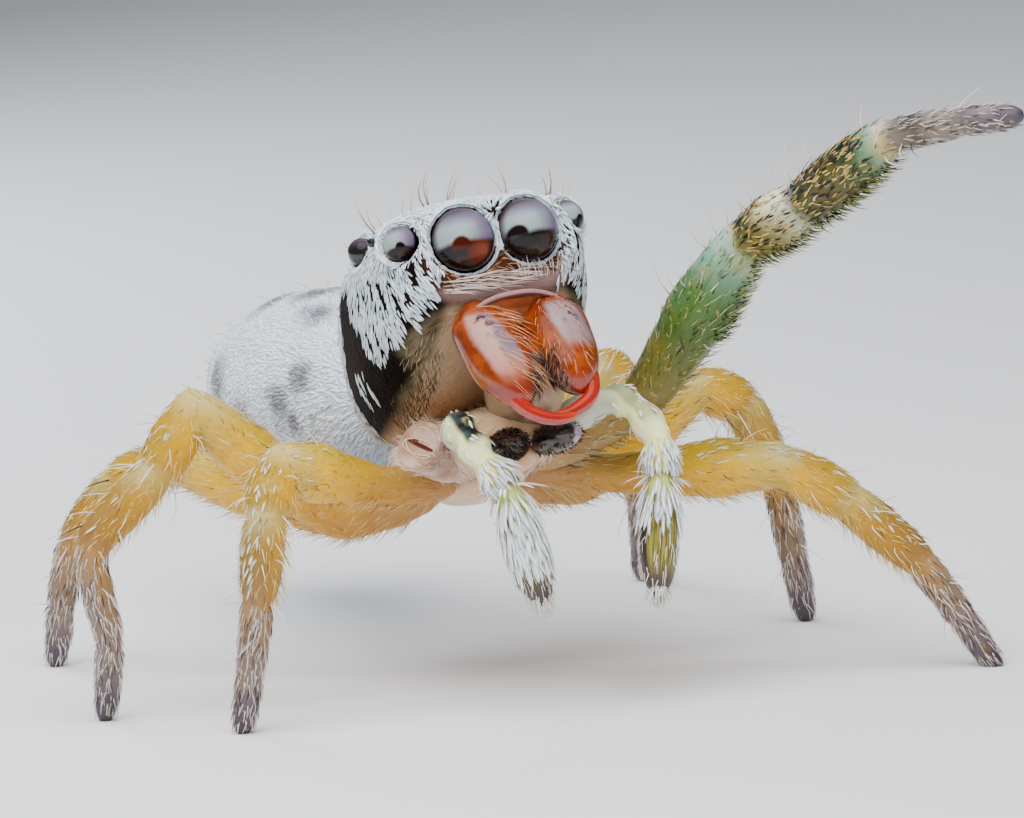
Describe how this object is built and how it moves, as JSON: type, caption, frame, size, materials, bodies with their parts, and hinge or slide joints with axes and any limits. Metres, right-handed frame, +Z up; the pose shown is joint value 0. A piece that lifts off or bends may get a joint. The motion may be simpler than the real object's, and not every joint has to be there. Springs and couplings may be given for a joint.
{
  "type": "jumping spider",
  "caption": "Life-size still model of a small jumping spider standing with one front leg raised; for display or as a prop.",
  "frame": {"origin": "on the floor, under the middle of the outline", "axes": "+Z up; the spider faces -Y; its left side is +X"},
  "size_m": [0.0064, 0.0082, 0.0044],
  "materials": {
    "scaled_shell": "black cuticle under white scales, satin",
    "abdomen_coat": "white scales with grey-black blotches, soft",
    "eye_lens": "wet gloss, dark brown with a lilac sheen",
    "amber_cuticle": "translucent amber-orange, glossy",
    "fang_cuticle": "deep red, glossy",
    "dark_cuticle": "dark brown, hairy, half gloss",
    "pale_cuticle": "translucent pinkish beige, satin",
    "palp_cuticle": "pale yellow-green with white hair, satin",
    "green_leg_cuticle": "translucent green with dark blue-green ends, satin",
    "yellow_leg_cuticle": "translucent yellow with white scales and grey tips, satin"
  },
  "bodies": {
    "root": {"abdomen": "abdomen_coat", "carapace": "scaled_shell", "chelicera_left": "amber_cuticle", "chelicera_right": "amber_cuticle", "eye_front_middle_left": "eye_lens", "eye_front_middle_right": "eye_lens", "eye_front_side_left": "eye_lens", "eye_front_side_right": "eye_lens", "eye_rear_left": "eye_lens", "eye_rear_right": "eye_lens", "eye_small_left": "eye_lens", "eye_small_right": "eye_lens", "fang_left": "fang_cuticle", "fang_right": "fang_cuticle", "leg_left_1_femur": "green_leg_cuticle", "leg_left_1_foot": "green_leg_cuticle", "leg_left_1_shin": "green_leg_cuticle", "leg_left_2_femur": "yellow_leg_cuticle", "leg_left_2_foot": "yellow_leg_cuticle", "leg_left_2_shin": "yellow_leg_cuticle", "leg_left_3_femur": "yellow_leg_cuticle", "leg_left_3_foot": "yellow_leg_cuticle", "leg_left_3_shin": "yellow_leg_cuticle", "leg_left_4_femur": "yellow_leg_cuticle", "leg_left_4_foot": "yellow_leg_cuticle", "leg_left_4_shin": "yellow_leg_cuticle", "leg_right_1_stump": "pale_cuticle", "leg_right_2_femur": "yellow_leg_cuticle", "leg_right_2_foot": "yellow_leg_cuticle", "leg_right_2_shin": "yellow_leg_cuticle", "leg_right_3_femur": "yellow_leg_cuticle", "leg_right_3_foot": "yellow_leg_cuticle", "leg_right_3_shin": "yellow_leg_cuticle", "leg_right_4_femur": "yellow_leg_cuticle", "leg_right_4_foot": "yellow_leg_cuticle", "leg_right_4_shin": "yellow_leg_cuticle", "mouthparts": "dark_cuticle", "palp_left_stem": "palp_cuticle", "palp_left_tarsus": "palp_cuticle", "palp_right_stem": "palp_cuticle", "palp_right_tarsus": "palp_cuticle", "pedicel": "pale_cuticle", "spinnerets": "pale_cuticle", "sternum": "pale_cuticle"}
  },
  "joints": []
}
